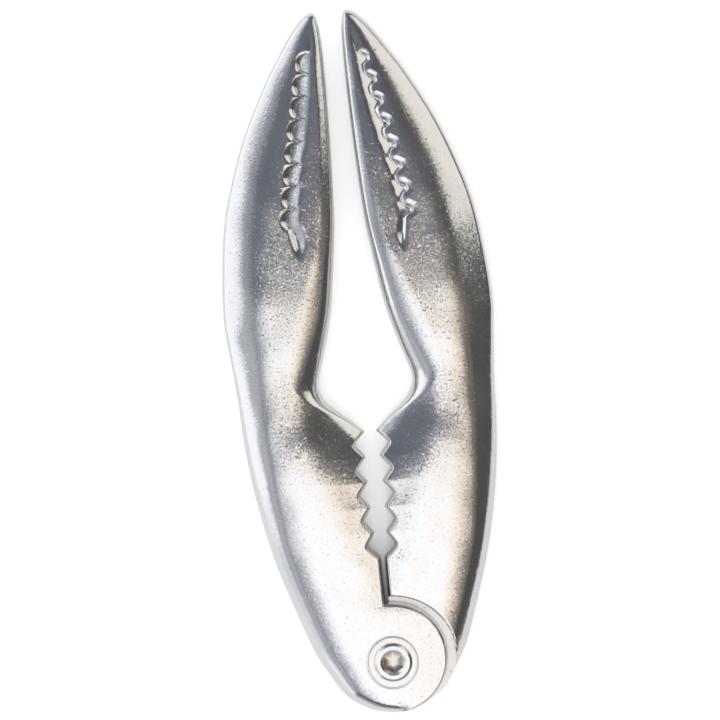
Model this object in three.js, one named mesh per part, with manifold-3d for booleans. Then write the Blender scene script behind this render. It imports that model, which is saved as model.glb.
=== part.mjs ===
// A hand cracker for nuts and shellfish, shaped like a lobster's claw. Two identical cast arms
// lap at a round knuckle and turn on a barrel nut, which a hex-socket screw closes from the front.
// The right arm is built here, and the left arm is the same casting turned over.
//
// Millimetres, +Z up. The tool lies on its back: the origin is where the pivot axis meets the
// plane that it lies on, +Y runs to the claw tips and the right arm is on the +X side.

import * as THREE from 'three';
import Module from 'manifold-3d';
import { LoftGeometry } from 'three/addons/geometries/LoftGeometry.js';
import { mergeVertices } from 'three/addons/utils/BufferGeometryUtils.js';

const wasm = await Module();
wasm.setup();

// ---------------------------------------------------------------- driving dimensions

const THICKNESS = 12;             // whole depth of the knuckle and the flat lower body
const MIDDLE = THICKNESS / 2;     // height of the parting line
const LAP_GAP = 0.25;             // each lug stops this far short of the parting line

const LUG_RADIUS = 14.6;          // round end of the half-thickness lug
const LUG_CENTRE_Y = 0.9;         // the round end sits a little above the pivot
const HOLLOW_RADIUS = 16.7;       // hollow shoulder that the other arm's lug turns inside
const STOP_X = 0.45;              // half the slit between the two stop faces at rest
const STOP_TOP_Y = 27.2;          // where the stop face ends and the teeth begin

const TOOTH_COUNT = 5;
const TOOTH_PITCH = 6.7;
const TOOTH_TIP_X = 1.97;         // half the gap between facing tooth tips, mid row
const TOOTH_VALLEY_X = 4.35;      // half the gap between facing valleys, mid row
const TOOTH_SHARPNESS = 0.93;     // 1 gives a plain zigzag, less rounds tips and valleys
const TIP_BOW = 0.0022;           // the tips lie on a shallow curve, widest apart mid row
const TIP_BOW_Y = 47;
const VALLEY_BOW = 0.0018;        // so do the valleys
const VALLEY_BOW_Y = 52;

const TIP = [4.6, 171.7];         // point of the claw
const CREST_DEPTH = 0.9;          // width of the crisp edge along stop, teeth and shoulder
const HOLLOW_CREST = 1.2;         // the same round the hollow shoulder
const LUG_CREST = 1.5;            // and where the lug meets the stop face

const POCKET_DEPTH = 0.9;         // sunk mouth line on both faces of the claw
const POCKET_TOP_Y = 161;
const POCKET_SCALLOPS = 8;
const POCKET_PITCH = 5.83;
const POCKET_TOP_X = [6.6, 8.3];  // inner and outer side of the top end
const POCKET_SLANT = 0.1875;      // the scallops move out this much for each step down
const POCKET_LEAD = 0.4;          // from the top end to the first scallop
const SCALLOP_REACH = 0.75;       // each scallop bulges this far out of the row's line
const SCALLOP = [[0.06, -0.7], [0.3, 1], [0.7, 1], [0.94, -0.7]];   // [share of pitch, of reach]
const POCKET_TAIL = [13.5, 105.7];
const POCKET_INNER_SIDE = [[11.9, 117], [10.2, 128], [7.6, 139], [6.5, 150], [5.6, 159]];

const BORE_RADIUS = 4.65;         // through each lug, runs on the barrel nut
const COUNTERBORE_RADIUS = 6.9;
const FRONT_COUNTERBORE = 1.5;    // depth, front face
const BACK_COUNTERBORE = 2.4;     // depth, back face, so that the nut head lies flush
const WASHER_RADIUS = 6.6;
const WASHER_HEIGHT = 1.1;
const WASHER_EDGE = 0.12;
const WASHER_HOLE_RADIUS = 4.6;
const HEAD_RADIUS = 4.95;         // screw head and nut head
const SCREW_HEAD_HEIGHT = 1.25;
const NUT_HEAD_HEIGHT = 1.2;
const BARREL_RADIUS = 4.35;
const HEAD_CHAMFER = 0.5;
const NUT_CHAMFER = 0.3;
const THREAD_CHAMFER = 0.5;       // on the screw's tip
const NECK_RADIUS = 3.5;          // plain neck of the screw, centred in the barrel's mouth
const NECK_START = 8.5;           // height where the thread ends and the neck begins
const THREAD_RADIUS = 2.9;
const SCREW_END = 3.2;            // height of the screw's tip inside the barrel nut
const SCREW_CLEARANCE = 0.15;     // between the screw and the barrel nut's bore
const SOCKET_FLATS = 5;           // hex key size
const SOCKET_DEPTH = 2.3;
const SOCKET_CONE = 0.8;          // six-sided hollow point below the socket
const SOCKET_POINT_RADIUS = 0.01;
const SOCKET_MOUTH_RADIUS = 3.3;  // round countersink over the hexagon
const SOCKET_MOUTH_DEPTH = 0.8;
const SOCKET_MOUTH_INSET = 0.4;   // the countersink ends this far inside the hexagon's corners
const SPANNER_HOLE_RADIUS = 0.7;  // two blind holes in the nut's head, to hold it still
const SPANNER_HOLE_DEPTH = 0.7;
const SPANNER_HOLE_SPREAD = 3;
const SPANNER_HOLE_SIDES = 12;
const SPACER_RADIUS = 11;
const SPACER_HEIGHT = 0.3;
const SPACER_EDGE = 0.05;
const FACE_GAP = 0.05;            // between flat faces that bear on each other
const CUT_PAST = 1;               // a cutter reaches this far out of the face that it cuts
const CUT_OVERLAP = 0.01;         // two cutters in one hole overlap by this much
const ROUND_SIDES = 40;

const LUG_BOTTOM = LUG_CENTRE_Y - LUG_RADIUS;
const LUG_TOP = LUG_CENTRE_Y + LUG_RADIUS;
const TEETH_TOP = STOP_TOP_Y + TOOTH_COUNT * TOOTH_PITCH;

// ---------------------------------------------------------------- outlines of one arm

// Points are [distance from the mirror plane, distance along the arm].
const spline = (points) => new THREE.SplineCurve(points.map(([x, y]) => new THREE.Vector2(x, y)));

const outerEdge = spline([
  [0, LUG_BOTTOM], [5, -12.9], [9.3, -11], [13.2, -8], [17, -2], [20.2, 4],
  [24.4, 16], [28.1, 28], [31.3, 43], [33.2, 58], [33.9, 72], [34.9, 84], [35.5, 91.5],
  [34.9, 103], [32.9, 118], [29.5, 130], [24.8, 142], [18.6, 154], [14.9, 160],
  [10.95, 166], [8.5, 169], [6.4, 170.9], TIP,
]);

const clawInnerEdge = spline([
  [1.56, TEETH_TOP], [5.1, 64], [8.74, 67], [11.3, 70], [12.4, 73.5],
  [11.7, 77], [10.1, 82], [8.4, 88], [6.9, 94.5], [5.2, 106], [3.85, 118], [3, 136],
  [2.62, 154], [2.8, 165.5], [3.2, 169], [3.7, 170.9], TIP,
]);

// Half the thickness along the crown of the arm, and the widths of its two rounded flanks.
const crownHeight = spline([
  [6, -14], [6, 20], [6, 44], [5.92, 50], [5.68, 55], [5.4, 60], [5.13, 65], [4.97, 70],
  [4.92, 76], [4.92, 84], [4.91, 92], [4.86, 98], [4.66, 108], [4.3, 124], [3.8, 142],
  [3.1, 157], [2.3, 167], [1.9, 172],
]);

const outerFlankWidth = spline([
  [1, -14], [3.5, -11], [6.5, -6], [9, 2], [10, 15], [10, 45], [11.5, 62], [13, 80],
  [14.5, 100], [15, 118], [12, 140], [7, 158], [3.2, 168], [1.6, 172],
]);

const innerFlankWidth = spline([
  [CREST_DEPTH, -14], [CREST_DEPTH, 20], [CREST_DEPTH, 45], [CREST_DEPTH, 60], [2.5, 66], [6, 71],
  [9, 78], [9, 88], [7.5, 98], [5.5, 110], [4.2, 125], [3.6, 140], [2.8, 156], [1.6, 167], [1, 172],
]);

const HALVINGS = 40;

// The first value of a curve whose second value rises all the way, where the second is y.
function valueAt(curve, y) {
  let low = 0;
  let high = 1;
  for (let i = 0; i < HALVINGS; i++) {
    const middle = (low + high) / 2;
    if (curve.getPoint(middle).y < y) low = middle;
    else high = middle;
  }
  return curve.getPoint((low + high) / 2).x;
}

// 1 at each tooth tip and 0 at each valley.
function toothWave(y) {
  const turn = ((y - STOP_TOP_Y) / TOOTH_PITCH) * 2 * Math.PI;
  return 0.5 + (0.5 * Math.asin(TOOTH_SHARPNESS * Math.cos(turn))) / Math.asin(TOOTH_SHARPNESS);
}

// The row of teeth bows a little: its end teeth are taller and its lowest valleys shallower.
function toothEdge(y) {
  const tip = TOOTH_TIP_X - TIP_BOW * (y - TIP_BOW_Y) ** 2;
  const valley = TOOTH_VALLEY_X - VALLEY_BOW * (y - VALLEY_BOW_Y) ** 2;
  const crest = y < STOP_TOP_Y + TOOTH_PITCH / 2 ? STOP_X : tip;
  return valley - (valley - crest) * toothWave(y);
}

// The inner edge above the lap joint: stop face, teeth, then the hollow neck and the claw.
function upperInnerEdge(y) {
  if (y <= STOP_TOP_Y) return STOP_X;
  if (y <= TEETH_TOP) return toothEdge(y);
  return valueAt(clawInnerEdge, y);
}

// The back half keeps its round lug, and the front half is hollowed for the other arm's lug.
function backInnerEdge(y) {
  if (y > LUG_TOP) return upperInnerEdge(y);
  return -Math.sqrt(Math.max(LUG_RADIUS ** 2 - (y - LUG_CENTRE_Y) ** 2, 0));
}

function frontInnerEdge(y) {
  const hollow = Math.sqrt(Math.max(HOLLOW_RADIUS ** 2 - y ** 2, 0));
  return Math.min(Math.max(hollow, upperInnerEdge(y)), valueAt(outerEdge, y));
}

// ---------------------------------------------------------------- stations along the arm

const between = (from, to, count) =>
  Array.from({ length: count }, (_, i) => from + ((to - from) * i) / count);

// Closer together towards the ends, for a rounded end.
const easedBetween = (from, to, count) =>
  Array.from({ length: count }, (_, i) => {
    const share = (1 - Math.cos((Math.PI * i) / count)) / 2;
    return from + (to - from) * share;
  });

const STEP_WIDTH = 0.01;          // the lug's top edge drops to the hollow within this length
const HOLLOW_RUNOUT = 1.1;        // the hollow's crisp edge ends within this length
const STOP_MIDDLE_Y = 21;
const NECK_Y = 76;                // the neck's narrowest place
const CLAW_END_Y = 150;           // where the claw begins to close to its point
const POINT_Y = 166;              // where the point begins to round
const TOOTH_STEPS = 6;

const stations = [
  ...easedBetween(LUG_BOTTOM, LUG_TOP, 18),
  LUG_TOP,
  LUG_TOP + STEP_WIDTH,
  HOLLOW_RADIUS,
  HOLLOW_RADIUS + HOLLOW_RUNOUT,
  ...between(STOP_MIDDLE_Y, STOP_TOP_Y, 2),
  ...between(STOP_TOP_Y, TEETH_TOP, TOOTH_COUNT * TOOTH_STEPS),
  ...between(TEETH_TOP, NECK_Y, 9),
  ...between(NECK_Y, CLAW_END_Y, 14),
  ...between(CLAW_END_Y, POINT_Y, 4),
  POINT_Y, 168.2, 169.8, 170.9, 171.5, TIP[1],
];

// ---------------------------------------------------------------- the arm's surface

const edgeSamples = (edge) =>
  stations.map((y) => new THREE.Vector2(edge(y), y));

function distanceTo(edge, x, y) {
  let nearest = Infinity;
  for (let i = 1; i < edge.length; i++) {
    const along = edge[i].clone().sub(edge[i - 1]);
    const from = new THREE.Vector2(x, y).sub(edge[i - 1]);
    const share = THREE.MathUtils.clamp(from.dot(along) / along.lengthSq(), 0, 1);
    nearest = Math.min(nearest, from.addScaledVector(along, -share).length());
  }
  return nearest;
}

// A quarter ellipse: 0 at the edge and 1 from the flank's full width inwards.
const roundOff = (share) => Math.sqrt(1 - (1 - Math.min(share, 1)) ** 2);

const outerSamples = edgeSamples((y) => valueAt(outerEdge, y));

// Height of the front or back face above the parting line.
function faceHeight(x, y, innerSamples) {
  const outer = distanceTo(outerSamples, x, y) / valueAt(outerFlankWidth, y);
  const inner = distanceTo(innerSamples, x, y) / valueAt(innerFlankWidth, y);
  return Math.min(valueAt(crownHeight, y), MIDDLE) * roundOff(outer) * roundOff(inner);
}

const INNER_STEPS = [0, 0.1, 0.42, 1, 1.7];
const OUTER_STEPS = [1, 0.55, 0.25, 0.07, 0];
const STEP_ROOM = 1.02;           // where both flanks fill the arm, this much room stays between
const CREST_SHARE = 0.8;          // a crest goes at most this far across the crown

// Places across one station, closer together where the flanks turn down. The last inner place
// moves out to crestX, where the crisp edge runs along the station and not across it.
function placesAcross(innerX, outerX, crestX, y) {
  const innerWidth = valueAt(innerFlankWidth, y);
  const outerWidth = valueAt(outerFlankWidth, y);
  const needed = INNER_STEPS.at(-1) * innerWidth + OUTER_STEPS[0] * outerWidth;
  const squeeze = Math.min((outerX - innerX) / (STEP_ROOM * needed), 1);
  const inner = INNER_STEPS.map((step) => innerX + step * innerWidth * squeeze);
  const outer = OUTER_STEPS.map((step) => outerX - step * outerWidth * squeeze);
  const crest = Math.min(crestX, THREE.MathUtils.lerp(inner.at(-1), outer[0], CREST_SHARE));
  return [...inner.slice(0, -1), Math.max(inner.at(-1), crest), ...outer];
}

const frontSamples = edgeSamples(frontInnerEdge);
const backSamples = edgeSamples(backInnerEdge);
const LAP_FLOOR = MIDDLE - LAP_GAP;

// One closed ring: over the front face, back under the back face, then along the lap floor.
function ringAt(y) {
  const outerX = valueAt(outerEdge, y);
  const frontX = frontInnerEdge(y);
  const backX = backInnerEdge(y);
  const lapped = y < HOLLOW_RADIUS;
  const hasFront = frontX < outerX;
  const floor = lapped ? LAP_FLOOR : MIDDLE;
  const rim = hasFront ? MIDDLE : floor;
  const hollowCrest = Math.sqrt(Math.max((HOLLOW_RADIUS + HOLLOW_CREST) ** 2 - y ** 2, 0));
  const lugCrest = STOP_X + LUG_CREST;

  const front = placesAcross(frontX, outerX, hollowCrest, y).map((x, i, all) => {
    if (!hasFront) return new THREE.Vector3(outerX, y, floor);
    if (i === 0) return new THREE.Vector3(x, y, floor);
    if (i === all.length - 1) return new THREE.Vector3(x, y, rim);
    return new THREE.Vector3(x, y, MIDDLE + faceHeight(x, y, frontSamples));
  });
  const back = placesAcross(backX, outerX, y < LUG_TOP ? lugCrest : backX, y).map((x, i, all) => {
    if (i === 0) return new THREE.Vector3(x, y, floor);
    if (i === all.length - 1) return new THREE.Vector3(x, y, rim);
    return new THREE.Vector3(x, y, Math.min(MIDDLE - faceHeight(x, y, backSamples), floor));
  });
  return [...front, ...back.reverse()];
}

// ---------------------------------------------------------------- cutting and joining

function solid(geometry, matrix = new THREE.Matrix4()) {
  const plain = new THREE.BufferGeometry().copy(geometry).applyMatrix4(matrix);
  plain.deleteAttribute('normal');
  plain.deleteAttribute('uv');
  const merged = mergeVertices(plain, 1e-4);
  const corners = merged.index.array;
  const triVerts = [];
  for (let i = 0; i < corners.length; i += 3) {
    const [a, b, c] = corners.slice(i, i + 3);
    if (a !== b && b !== c && c !== a) triVerts.push(a, b, c);
  }
  return new wasm.Manifold(new wasm.Mesh({
    numProp: 3,
    vertProperties: Float32Array.from(merged.attributes.position.array),
    triVerts: Uint32Array.from(triVerts),
  }));
}

function geometryOf(manifold) {
  const mesh = manifold.getMesh();
  const geometry = new THREE.BufferGeometry();
  geometry.setAttribute('position', new THREE.BufferAttribute(mesh.vertProperties, 3));
  geometry.setIndex(new THREE.BufferAttribute(mesh.triVerts, 1));
  geometry.computeVertexNormals();
  return geometry;
}

// A prism or cylinder on the pivot axis between two heights.
function onPivot(radius, low, high, sides = ROUND_SIDES, topRadius = radius) {
  const geometry = new THREE.CylinderGeometry(topRadius, radius, high - low, sides);
  const stand = new THREE.Matrix4().makeRotationX(Math.PI / 2);
  const lift = new THREE.Matrix4().makeTranslation(0, 0, (low + high) / 2);
  return solid(geometry, lift.multiply(stand));
}

// ---------------------------------------------------------------- mouth line on the claw

// The outer side is a row of scallops and the inner side one smooth line, down to a long tail.
function pocketShape() {
  const [innerX, outerX] = POCKET_TOP_X;
  const shape = new THREE.Shape();
  shape.moveTo(innerX, POCKET_TOP_Y);
  for (let i = 0; i < POCKET_SCALLOPS; i++) {
    for (const [share, bulge] of SCALLOP) {
      const down = POCKET_LEAD + (i + share) * POCKET_PITCH;
      shape.lineTo(outerX + down * POCKET_SLANT + bulge * SCALLOP_REACH, POCKET_TOP_Y - down);
    }
  }
  shape.lineTo(...POCKET_TAIL);
  shape.splineThru(POCKET_INNER_SIDE.map(([x, y]) => new THREE.Vector2(x, y)));
  shape.closePath();
  return shape;
}

function pocketCutter() {
  const geometry = new THREE.ExtrudeGeometry(pocketShape(), {
    depth: THICKNESS,
    bevelEnabled: false,
    curveSegments: 2,
  });
  const lowY = POCKET_TAIL[1];
  const lowHeight = valueAt(crownHeight, lowY);
  const highHeight = valueAt(crownHeight, POCKET_TOP_Y);
  const tilt = Math.atan2(highHeight - lowHeight, POCKET_TOP_Y - lowY);
  const matrix = new THREE.Matrix4().makeTranslation(0, lowY, MIDDLE + lowHeight - POCKET_DEPTH)
    .multiply(new THREE.Matrix4().makeRotationX(tilt))
    .multiply(new THREE.Matrix4().makeTranslation(0, -lowY, 0));
  return solid(geometry, matrix);
}

// ---------------------------------------------------------------- the pieces

// The lug's outer face, at height 0 here, is counterbored for its washer.
function armGeometry(counterboreDepth) {
  const casting = new LoftGeometry(stations.map(ringAt));
  const pocket = pocketCutter();
  return geometryOf(solid(casting)
    .subtract(pocket)
    .subtract(pocket.mirror([0, 0, 1]).translate([0, 0, THICKNESS]))
    .subtract(onPivot(BORE_RADIUS, -CUT_PAST, THICKNESS + CUT_PAST))
    .subtract(onPivot(COUNTERBORE_RADIUS, -CUT_PAST, counterboreDepth)));
}

// Turned about the pivot axis from [radius, height] points, anticlockwise round the section.
function turned(points) {
  const profile = points.map(([radius, height]) => new THREE.Vector2(radius, height));
  return new THREE.LatheGeometry(profile, ROUND_SIDES).rotateX(Math.PI / 2);
}

function washerGeometry(hole, radius, low, height, edge) {
  return geometryOf(solid(turned([
    [hole, low], [radius - edge, low], [radius, low + edge], [radius, low + height - edge],
    [radius - edge, low + height], [hole, low + height], [hole, low],
  ])));
}

function screwGeometry() {
  const seat = THICKNESS - FRONT_COUNTERBORE + FACE_GAP + WASHER_HEIGHT + FACE_GAP;
  const top = seat + SCREW_HEAD_HEIGHT;
  const shank = turned([
    [0, SCREW_END], [THREAD_RADIUS - THREAD_CHAMFER, SCREW_END],
    [THREAD_RADIUS, SCREW_END + THREAD_CHAMFER], [THREAD_RADIUS, NECK_START],
    [NECK_RADIUS, NECK_START], [NECK_RADIUS, seat],
    [HEAD_RADIUS, seat], [HEAD_RADIUS, top - HEAD_CHAMFER],
    [HEAD_RADIUS - HEAD_CHAMFER, top], [0, top],
  ]);
  const socketRadius = SOCKET_FLATS / 2 / Math.cos(Math.PI / 6);
  const floor = top - SOCKET_DEPTH;
  const hexagon = onPivot(socketRadius, floor, top + CUT_PAST, 6);
  const point = onPivot(
    SOCKET_POINT_RADIUS, floor - SOCKET_CONE, floor + CUT_OVERLAP, 6, socketRadius,
  );
  const mouth = onPivot(
    socketRadius - SOCKET_MOUTH_INSET, top - SOCKET_MOUTH_DEPTH, top + CUT_OVERLAP,
    ROUND_SIDES, SOCKET_MOUTH_RADIUS,
  );
  return geometryOf(solid(shank).subtract(hexagon).subtract(point).subtract(mouth));
}

function barrelNutGeometry() {
  const top = THICKNESS - FRONT_COUNTERBORE + FACE_GAP + WASHER_HEIGHT;
  const threadBore = THREAD_RADIUS + SCREW_CLEARANCE;
  const neckBore = NECK_RADIUS + SCREW_CLEARANCE;
  const neckFloor = NECK_START - SCREW_CLEARANCE;
  const boreEnd = SCREW_END - SCREW_CLEARANCE;
  const body = turned([
    [0, 0], [HEAD_RADIUS - NUT_CHAMFER, 0], [HEAD_RADIUS, NUT_CHAMFER],
    [HEAD_RADIUS, NUT_HEAD_HEIGHT],
    [BARREL_RADIUS, NUT_HEAD_HEIGHT], [BARREL_RADIUS, top], [neckBore, top],
    [neckBore, neckFloor], [threadBore, neckFloor], [threadBore, boreEnd], [0, boreEnd],
  ]);
  const spannerHole = onPivot(
    SPANNER_HOLE_RADIUS, -CUT_PAST, SPANNER_HOLE_DEPTH, SPANNER_HOLE_SIDES,
  );
  return geometryOf(solid(body)
    .subtract(spannerHole.translate([SPANNER_HOLE_SPREAD, 0, 0]))
    .subtract(spannerHole.translate([-SPANNER_HOLE_SPREAD, 0, 0])));
}

// ---------------------------------------------------------------- finishes

const castAluminium = { color: 0xc9cacb, roughness: 0.34, metalness: 0.9 };
const brightSteel = { color: 0xd2cfc8, roughness: 0.25, metalness: 1 };
const nylon = { color: 0xe6e3da, roughness: 0.6, metalness: 0 };

function piece(name, geometry, finish) {
  const mesh = new THREE.Mesh(geometry, new THREE.MeshStandardMaterial(finish));
  mesh.name = name;
  return mesh;
}

// ---------------------------------------------------------------- the assembly

const rightArm = piece('right_arm', armGeometry(BACK_COUNTERBORE), castAluminium);

// The same casting turned over about the tool's length, so its lug is the front one.
const leftArm = piece('left_arm', armGeometry(FRONT_COUNTERBORE), castAluminium);
leftArm.rotation.y = Math.PI;
leftArm.position.z = THICKNESS;

const frontWasherLow = THICKNESS - FRONT_COUNTERBORE + FACE_GAP;
const backWasherLow = NUT_HEAD_HEIGHT + FACE_GAP;
const washer = (low) =>
  washerGeometry(WASHER_HOLE_RADIUS, WASHER_RADIUS, low, WASHER_HEIGHT, WASHER_EDGE);

const cracker = new THREE.Group();
cracker.add(
  leftArm,
  rightArm,
  piece('pivot_screw', screwGeometry(), brightSteel),
  piece('barrel_nut', barrelNutGeometry(), brightSteel),
  piece('front_washer', washer(frontWasherLow), brightSteel),
  piece('back_washer', washer(backWasherLow), brightSteel),
  piece('spacer_washer', washerGeometry(
    WASHER_HOLE_RADIUS, SPACER_RADIUS, MIDDLE - SPACER_HEIGHT / 2, SPACER_HEIGHT, SPACER_EDGE,
  ), nylon),
);

export default cracker;
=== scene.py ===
"""Looks of a claw-shaped hand cracker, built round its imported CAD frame.

Shapes are worked out in millimetres in the row frame and stored in metres. The right arm is built
as one fine casting, and the left arm is the same casting turned over. Both lie at z = 0 to 12 mm,
the pivot axis is x = y = 0, and +Y runs to the claw tips.
"""

import math

import bpy
import numpy as np
from mathutils import Euler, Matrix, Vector


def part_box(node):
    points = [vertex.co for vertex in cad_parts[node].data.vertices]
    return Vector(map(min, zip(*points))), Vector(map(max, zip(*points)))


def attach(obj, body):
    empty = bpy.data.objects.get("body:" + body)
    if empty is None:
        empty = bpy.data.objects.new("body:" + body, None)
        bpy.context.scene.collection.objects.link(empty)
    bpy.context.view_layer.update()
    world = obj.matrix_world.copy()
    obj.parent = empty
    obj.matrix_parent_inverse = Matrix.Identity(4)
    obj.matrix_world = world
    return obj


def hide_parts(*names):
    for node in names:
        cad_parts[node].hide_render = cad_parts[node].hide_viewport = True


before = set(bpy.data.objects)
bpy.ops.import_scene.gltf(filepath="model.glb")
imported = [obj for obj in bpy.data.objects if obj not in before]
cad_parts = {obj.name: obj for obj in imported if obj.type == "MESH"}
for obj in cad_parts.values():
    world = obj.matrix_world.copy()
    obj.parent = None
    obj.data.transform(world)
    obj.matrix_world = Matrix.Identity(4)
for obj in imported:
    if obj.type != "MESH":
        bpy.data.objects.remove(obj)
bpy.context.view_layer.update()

MM = 0.001

# ---------------------------------------------------------------- driving dimensions, in mm

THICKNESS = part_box("right_arm")[1].z / MM     # whole depth of the knuckle
MIDDLE = THICKNESS / 2                        # height of the parting line
LAP_CUT = 0.25                                # each lug is cut this far below the parting line
LAP_FLOOR = MIDDLE - LAP_CUT
SMALL_STEP = 0.01                             # height of the step where the lug meets the arm

LUG_RADIUS = 14.6
LUG_CENTRE_Y = 0.9
HOLLOW_RADIUS = 16.7
STOP_X = 0.45
STOP_TOP_Y = 27.2
TOOTH_COUNT = 5
TOOTH_PITCH = 6.7
TOOTH_TIP_X = 1.97
TOOTH_VALLEY_X = 4.35
TOOTH_SHARPNESS = 0.93                        # 1 makes a zigzag with sharp corners
TIP_BOW = (0.0022, 47)                        # how the row bows, and the height of its middle
VALLEY_BOW = (0.0018, 52)
TEETH_START_GAP = 0.4                         # the stop face ends this far below the teeth
TIP = [4.6, 171.7]

BORE_RADIUS = 4.65
COUNTERBORE_RADIUS = 6.9
FRONT_COUNTERBORE = 1.5
BACK_COUNTERBORE = 2.4
COUNTERBORE_BREAK = 0.12                      # broken edge round the counterbore's mouth

LUG_BOTTOM = LUG_CENTRE_Y - LUG_RADIUS
LUG_TOP = LUG_CENTRE_Y + LUG_RADIUS
TEETH_TOP = STOP_TOP_Y + TOOTH_COUNT * TOOTH_PITCH

# ---------------------------------------------------------------- outlines of one arm

def smooth(x):
    """0 below 0, 1 above 1, and an S-shaped ramp between."""
    x = np.clip(x, 0, 1)
    return x * x * (3 - 2 * x)


def round_off(share):
    """A quarter circle: 0 and upright at 0, 1 and level from 1 on."""
    return np.sqrt(1 - (1 - np.clip(share, 0, 1)) ** 2)


def spline(points, steps=60):
    """Points along the smooth curve through the given ones (uniform Catmull-Rom)."""
    p = np.array(points, float)
    p = np.vstack([p[0], p, p[-1]])
    t = (np.arange(steps) / steps)[:, None]
    stretches = []
    for before, start, end, after in zip(p, p[1:], p[2:], p[3:]):
        leave = (end - before) / 2
        arrive = (after - start) / 2
        stretches.append((2 * (start - end) + leave + arrive) * t ** 3
                         + (3 * (end - start) - 2 * leave - arrive) * t ** 2 + leave * t + start)
    return np.vstack([*stretches, p[-1:]])


def at(curve, y):
    """First value of a curve whose second value, y, rises all the way."""
    return np.interp(y, curve[:, 1], curve[:, 0])


# Points are [distance from the mirror plane, distance along the arm].
OUTER_EDGE = spline([
    [0, LUG_BOTTOM], [5, -12.9], [9.3, -11], [13.2, -8], [17, -2], [20.2, 4],
    [24.4, 16], [28.1, 28], [31.3, 43], [33.2, 58], [33.9, 72], [34.9, 84], [35.5, 91.5],
    [34.9, 103], [32.9, 118], [29.5, 130], [24.8, 142], [18.6, 154], [14.9, 160],
    [10.95, 166], [8.5, 169], [6.4, 170.9], TIP,
])

CLAW_INNER_EDGE = spline([
    [1.56, TEETH_TOP], [5.1, 64], [8.74, 67], [11.3, 70], [12.4, 73.5],
    [11.7, 77], [10.1, 82], [8.4, 88], [6.9, 94.5], [5.2, 106], [3.85, 118], [3, 136],
    [2.62, 154], [2.8, 165.5], [3.2, 169], [3.7, 170.9], TIP,
])

# Half the thickness along the crown. Each of its two flanks is a rounded edge of one width and a
# gentler slope of a greater width.
CROWN_HEIGHT = spline([
    [6, -14], [6, 20], [6, 44], [5.93, 50], [5.7, 55], [5.44, 60], [5.19, 65], [5, 70], [4.92, 76],
    [4.92, 84], [4.91, 92], [4.86, 98], [4.66, 108], [4.3, 124], [3.8, 142], [3.1, 157], [2.3, 167],
    [1.9, 172],
])

OUTER_FLANK = spline([
    [1.5, -14], [5, -11], [7, -6], [9, 2], [10, 15], [11, 28], [12, 42], [12.4, 58], [12.4, 76],
    [12.5, 100], [12.5, 118], [11.3, 140], [7, 158], [3.2, 168], [1.6, 172],
])

OUTER_ROUND = spline([
    [0.9, -14], [2.6, -11], [3.6, -6], [4.3, 2], [4.5, 25], [5.6, 40], [7, 55], [8.4, 75],
    [8.5, 100], [8, 172],
])

INNER_FLANK = spline([
    [0.95, -14], [0.95, 45], [0.95, 60], [1.8, 66], [5.2, 71], [8.4, 77],
    [9.4, 86], [8, 98], [5, 110], [3.4, 125], [2.9, 140], [2.6, 156], [1.9, 167], [1.2, 172],
])

INNER_ROUND = spline([
    [0.9, -14], [0.9, 60], [1.2, 66], [2.4, 71], [3.2, 78], [2.6, 98], [1.7, 110], [1.1, 125],
    [1, 156], [0.9, 167], [0.8, 172],
])


def tooth_edge(y):
    """The toothed edge: a rounded zigzag whose row bows a little."""
    turn = (y - STOP_TOP_Y) / TOOTH_PITCH * 2 * math.pi
    wave = 0.5 + 0.5 * np.arcsin(TOOTH_SHARPNESS * np.cos(turn)) / math.asin(TOOTH_SHARPNESS)
    tip = TOOTH_TIP_X - TIP_BOW[0] * (y - TIP_BOW[1]) ** 2
    valley = TOOTH_VALLEY_X - VALLEY_BOW[0] * (y - VALLEY_BOW[1]) ** 2
    crest = np.where(y < STOP_TOP_Y + TOOTH_PITCH / 2, STOP_X, tip)
    return valley - (valley - crest) * wave


def arc(radius, centre_y, start, end, count):
    """Points of an arc about [0, centre_y], where angles run from +X towards +Y, in degrees."""
    turn = np.radians(np.linspace(start, end, count))
    return np.column_stack([radius * np.cos(turn), centre_y + radius * np.sin(turn)])


def upper_inner_line():
    """Stop face, teeth, neck and claw, from below to the tip."""
    y = np.linspace(STOP_TOP_Y, TEETH_TOP, 560)
    teeth = np.column_stack([tooth_edge(y), y])
    return np.vstack([[STOP_X, STOP_TOP_Y - TEETH_START_GAP], teeth, CLAW_INNER_EDGE[1:]])


UPPER_LINE = upper_inner_line()
BACK_LINE = np.vstack([
    arc(LUG_RADIUS, LUG_CENTRE_Y, 270, 90, 300),
    [[STOP_X, LUG_TOP + SMALL_STEP]],
    UPPER_LINE,
])

# The round hollow that the other arm's lug turns in.
HOLLOW_TOP_Y = math.sqrt(HOLLOW_RADIUS ** 2 - STOP_X ** 2)
CUSP_ANGLE = 6.6                              # where the hollow runs out at the outer edge
FRONT_LINE = np.vstack([
    arc(HOLLOW_RADIUS, 0, CUSP_ANGLE, math.degrees(math.asin(HOLLOW_TOP_Y / HOLLOW_RADIUS)), 200),
    UPPER_LINE,
])
INNER_LINES = (FRONT_LINE, BACK_LINE)


def back_inner_x(y):
    """Inner end of the back face, round the lug and up the stop face, teeth and claw."""
    if y > LUG_TOP:
        return at(UPPER_LINE, y)
    return -math.sqrt(max(LUG_RADIUS ** 2 - (y - LUG_CENTRE_Y) ** 2, 0))


def front_inner_x(y):
    """Inner end of the front face, which begins at the hollow."""
    hollow = math.sqrt(max(HOLLOW_RADIUS ** 2 - y ** 2, 0))
    return min(max(hollow, at(UPPER_LINE, y)), at(OUTER_EDGE, y))


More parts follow.
